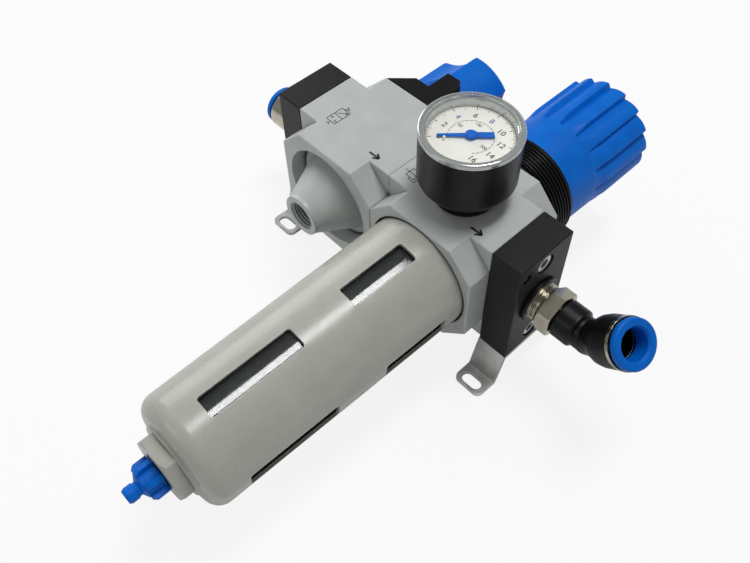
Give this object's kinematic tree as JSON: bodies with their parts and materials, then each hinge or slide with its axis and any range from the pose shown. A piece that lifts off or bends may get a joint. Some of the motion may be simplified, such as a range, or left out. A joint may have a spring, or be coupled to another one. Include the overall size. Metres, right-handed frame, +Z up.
{
  "type": "compressed air service unit",
  "caption": "Compressed-air service unit: hand shut-off valve beside a filter regulator with bowl and pressure gauge, between push-in tube fittings, on wall feet.",
  "frame": {"origin": "centre of the four foot slots, on the wall plane, at the height of the port axis", "axes": "+X along the flow from inlet to outlet, +Y into the wall (the gauge faces -Y), +Z up towards the knobs"},
  "size_m": [0.21, 0.1077, 0.26],
  "materials": {
    "grey_enamel": "satin light grey stove enamel on die-cast alloy",
    "guard_enamel": "glossy warm grey enamel on formed sheet",
    "black_anodised": "black anodised",
    "zinc_steel": "bright zinc-plated steel",
    "blue_plastic": "satin moulded blue",
    "black_plastic": "satin moulded black",
    "smoked_bowl": "clear, slightly smoked polycarbonate",
    "gauge_lens": "polished clear",
    "dial_enamel": "matt cream-white print",
    "nickel_brass": "nickel-plated brass",
    "brass": "machined",
    "spring_steel": "oiled spring wire",
    "rubber": "matt nitrile",
    "porous_plastic": "sintered, slightly yellowed white",
    "white_plastic": "moulded off-white"
  },
  "bodies": {
    "unit": {"baffle": "black_plastic", "bonnet": "black_plastic", "bourdon_tube": "brass", "coding_pins": "zinc_steel", "diaphragm": "rubber", "exhaust_cone": "grey_enamel", "filter_element": "porous_plastic", "filter_rod": "black_plastic", "foot_screws": "zinc_steel", "gauge_bezel": "black_plastic", "gauge_case": "black_plastic", "gauge_dial": "dial_enamel", "gauge_lens": "gauge_lens", "gauge_stem": "brass", "inlet_collet": "spring_steel", "inlet_fitting": "nickel_brass", "inlet_plate": "black_anodised", "main_spring": "spring_steel", "module_studs": "zinc_steel", "movement_frame": "brass", "outlet_nipple": "nickel_brass", "outlet_plate": "black_anodised", "outlet_washer": "black_plastic", "plate_screws": "zinc_steel", "poppet_spring": "spring_steel", "port_seals": "rubber", "regulator_body": "grey_enamel", "swirl_vane": "black_plastic", "swivel_ring": "rubber", "valve_body": "grey_enamel", "valve_cage": "black_plastic", "valve_cover": "black_plastic", "valve_seat": "brass", "wall_foot_left": "zinc_steel", "wall_foot_right": "zinc_steel"},
    "bowl": {"bowl": "smoked_bowl", "bowl_seal": "rubber", "drain_stem": "white_plastic", "drain_seal": "rubber"},
    "guard": {"bowl_guard": "guard_enamel"},
    "drain_handle": {"drain_knob": "blue_plastic"},
    "screw": {"adjusting_screw": "zinc_steel"},
    "pressure_handle": {"regulator_knob": "blue_plastic"},
    "nut": {"spring_nut": "brass"},
    "valve_pin": {"poppet": "rubber", "valve_stem": "brass", "diaphragm_plate": "zinc_steel"},
    "needle": {"gauge_needle": "blue_plastic", "pinion_arbor": "brass"},
    "sector": {"sector_gear": "brass"},
    "valve_handle": {"valve_plug": "nickel_brass", "valve_spindle": "brass", "spindle_seal": "rubber", "valve_knob": "blue_plastic"},
    "inlet_release": {"inlet_ring": "blue_plastic"},
    "elbow": {"elbow_body": "black_plastic", "elbow_band": "nickel_brass", "outlet_collet": "spring_steel"},
    "outlet_release": {"outlet_ring": "blue_plastic"}
  },
  "joints": [
    {"name": "bowl_pull", "type": "slide", "parent": "unit", "child": "bowl", "axis": [0, 0, -1], "range_m": [0, 0.08]},
    {"name": "guard_turn", "type": "hinge", "parent": "bowl", "child": "guard", "pos_m": [0.0275, -0.047, 0], "axis": [0, 0, 1], "range_deg": [0, 45]},
    {"name": "drain_turn", "type": "hinge", "parent": "bowl", "child": "drain_handle", "pos_m": [0.0275, -0.047, 0], "axis": [0, 0, 1], "range_deg": [0, 360]},
    {"name": "knob_turn", "type": "hinge", "parent": "unit", "child": "screw", "pos_m": [0.0275, -0.047, 0], "axis": [0, 0, -1], "range_deg": [0, 1440]},
    {"name": "knob_lift", "type": "slide", "parent": "screw", "child": "pressure_handle", "axis": [0, 0, 1], "range_m": [0, 0.004]},
    {"name": "nut_travel", "type": "slide", "parent": "unit", "child": "nut", "axis": [0, 0, -1], "range_m": [0, 0.00801], "deforming": ["main_spring"]},
    {"name": "poppet_travel", "type": "slide", "parent": "unit", "child": "valve_pin", "axis": [0, 0, -1], "range_m": [0, 0.0015], "stiffness_N_per_m": 500, "springref_m": -0.003, "deforming": ["poppet_spring", "diaphragm"]},
    {"name": "sector_turn", "type": "hinge", "parent": "unit", "child": "sector", "pos_m": [0.0275, -0.0935, -0.01125], "axis": [0, 1, 0], "range_deg": [-45, 0], "stiffness_Nm_per_rad": 0.002, "springref_deg": 5.73},
    {"name": "needle_turn", "type": "hinge", "parent": "unit", "child": "needle", "pos_m": [0.0275, -0.1, 0], "axis": [0, 1, 0], "range_deg": [0, 270.6]},
    {"name": "valve_turn", "type": "hinge", "parent": "unit", "child": "valve_handle", "pos_m": [-0.0275, -0.047, 0], "axis": [0, 0, 1], "range_deg": [0, 90]},
    {"name": "inlet_ring_press", "type": "slide", "parent": "unit", "child": "inlet_release", "axis": [1, 0, 0], "range_m": [0, 0.0008], "stiffness_N_per_m": 50, "springref_m": -0.001},
    {"name": "elbow_swivel", "type": "hinge", "parent": "unit", "child": "elbow", "pos_m": [0.095, -0.04515, 0], "axis": [1, 0, 0], "continuous": true},
    {"name": "outlet_ring_press", "type": "slide", "parent": "elbow", "child": "outlet_release", "axis": [-0.7071, 0.7011, 0.0923], "range_m": [0, 0.0008], "stiffness_N_per_m": 50, "springref_m": -0.001}
  ],
  "couplings": [
    {"joint": "nut_travel", "follows": "knob_turn", "m_per_rad": 0.00031831},
    {"joint": "needle_turn", "follows": "sector_turn", "ratio": -6}
  ]
}
